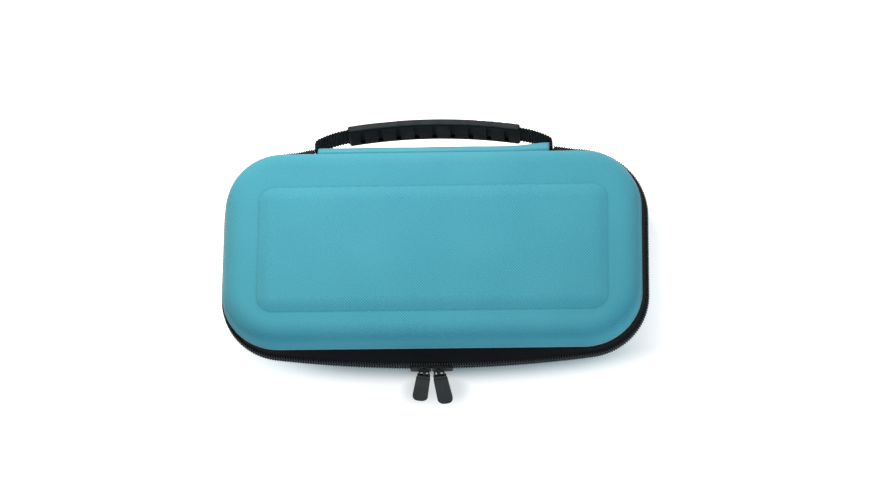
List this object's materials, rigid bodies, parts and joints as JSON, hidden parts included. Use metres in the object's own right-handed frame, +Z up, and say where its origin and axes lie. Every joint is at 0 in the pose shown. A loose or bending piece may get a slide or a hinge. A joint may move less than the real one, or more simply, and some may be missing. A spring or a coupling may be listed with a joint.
{
  "type": "portable game console case",
  "caption": "Stiff zip-round fabric carrying case for a handheld game console, with a raised panel on the lid, a handle on the spine and zip pulls at the front.",
  "frame": {"origin": "on the face the case rests on, under the middle of the rim", "axes": "+X along the case to the right, -Y to the zip front with the pulls, +Y to the spine and handle, +Z up"},
  "size_m": [0.2354, 0.1595, 0.046],
  "materials": {
    "shell_fabric": "turquoise woven fabric on stiff foam",
    "spine_fabric": "turquoise woven fabric",
    "zip_tape": "black woven tape",
    "zip_coil": "black nylon coil",
    "webbing": "black ribbed webbing",
    "grip": "matte black moulded sleeve",
    "slider": "black painted casting",
    "wire": "black painted wire",
    "pull_tab": "dark grey soft plastic",
    "binding": "black binding tape",
    "net": "black knitted net",
    "elastic": "black woven elastic"
  },
  "bodies": {
    "base": {"base_shell": "shell_fabric", "lower_zip_tape": "zip_tape", "lower_zip_coil": "zip_coil", "base_seam_binding": "binding", "left_elastic_band": "elastic", "right_elastic_band": "elastic", "spine_panel": "spine_fabric"},
    "lid": {"lid_shell": "shell_fabric", "upper_zip_tape": "zip_tape", "upper_zip_coil": "zip_coil", "lid_seam_binding": "binding", "pocket_mesh": "net", "pocket_binding": "elastic"},
    "handle": {"handle_webbing": "webbing", "handle_grip": "grip"},
    "left_slider": {"left_slider_body": "slider"},
    "right_slider": {"right_slider_body": "slider"},
    "left_pull": {"left_pull_loop": "wire", "left_pull_tab": "pull_tab"},
    "right_pull": {"right_pull_loop": "wire", "right_pull_tab": "pull_tab"}
  },
  "joints": [
    {"name": "lid_hinge", "type": "hinge", "parent": "base", "child": "lid", "pos_m": [0, 0.0622, 0.023], "axis": [-1, 0, 0], "range_deg": [0, 140], "deforming": ["spine_panel"]},
    {"name": "handle_follow", "type": "hinge", "parent": "base", "child": "handle", "pos_m": [0, 0.0622, 0.023], "axis": [-1, 0, 0], "range_deg": [0, 64]},
    {"name": "left_slider_travel", "type": "hinge", "parent": "base", "child": "left_slider", "pos_m": [0, 0.614, 0.023], "axis": [0, 0, -1], "range_deg": [0, 6.2]},
    {"name": "right_slider_travel", "type": "hinge", "parent": "base", "child": "right_slider", "pos_m": [0, 0.614, 0.023], "axis": [0, 0, 1], "range_deg": [0, 6.2]},
    {"name": "left_pull_swing", "type": "hinge", "parent": "left_slider", "child": "left_pull", "pos_m": [-0.00392, -0.06809, 0.023], "axis": [-1, 0.0087, 0], "range_deg": [-18, 152]},
    {"name": "right_pull_swing", "type": "hinge", "parent": "right_slider", "child": "right_pull", "pos_m": [0.00392, -0.06809, 0.023], "axis": [-1, -0.0087, 0], "range_deg": [-24, 146]}
  ],
  "couplings": [
    {"joint": "handle_follow", "follows": "lid_hinge", "ratio": 0.457}
  ]
}
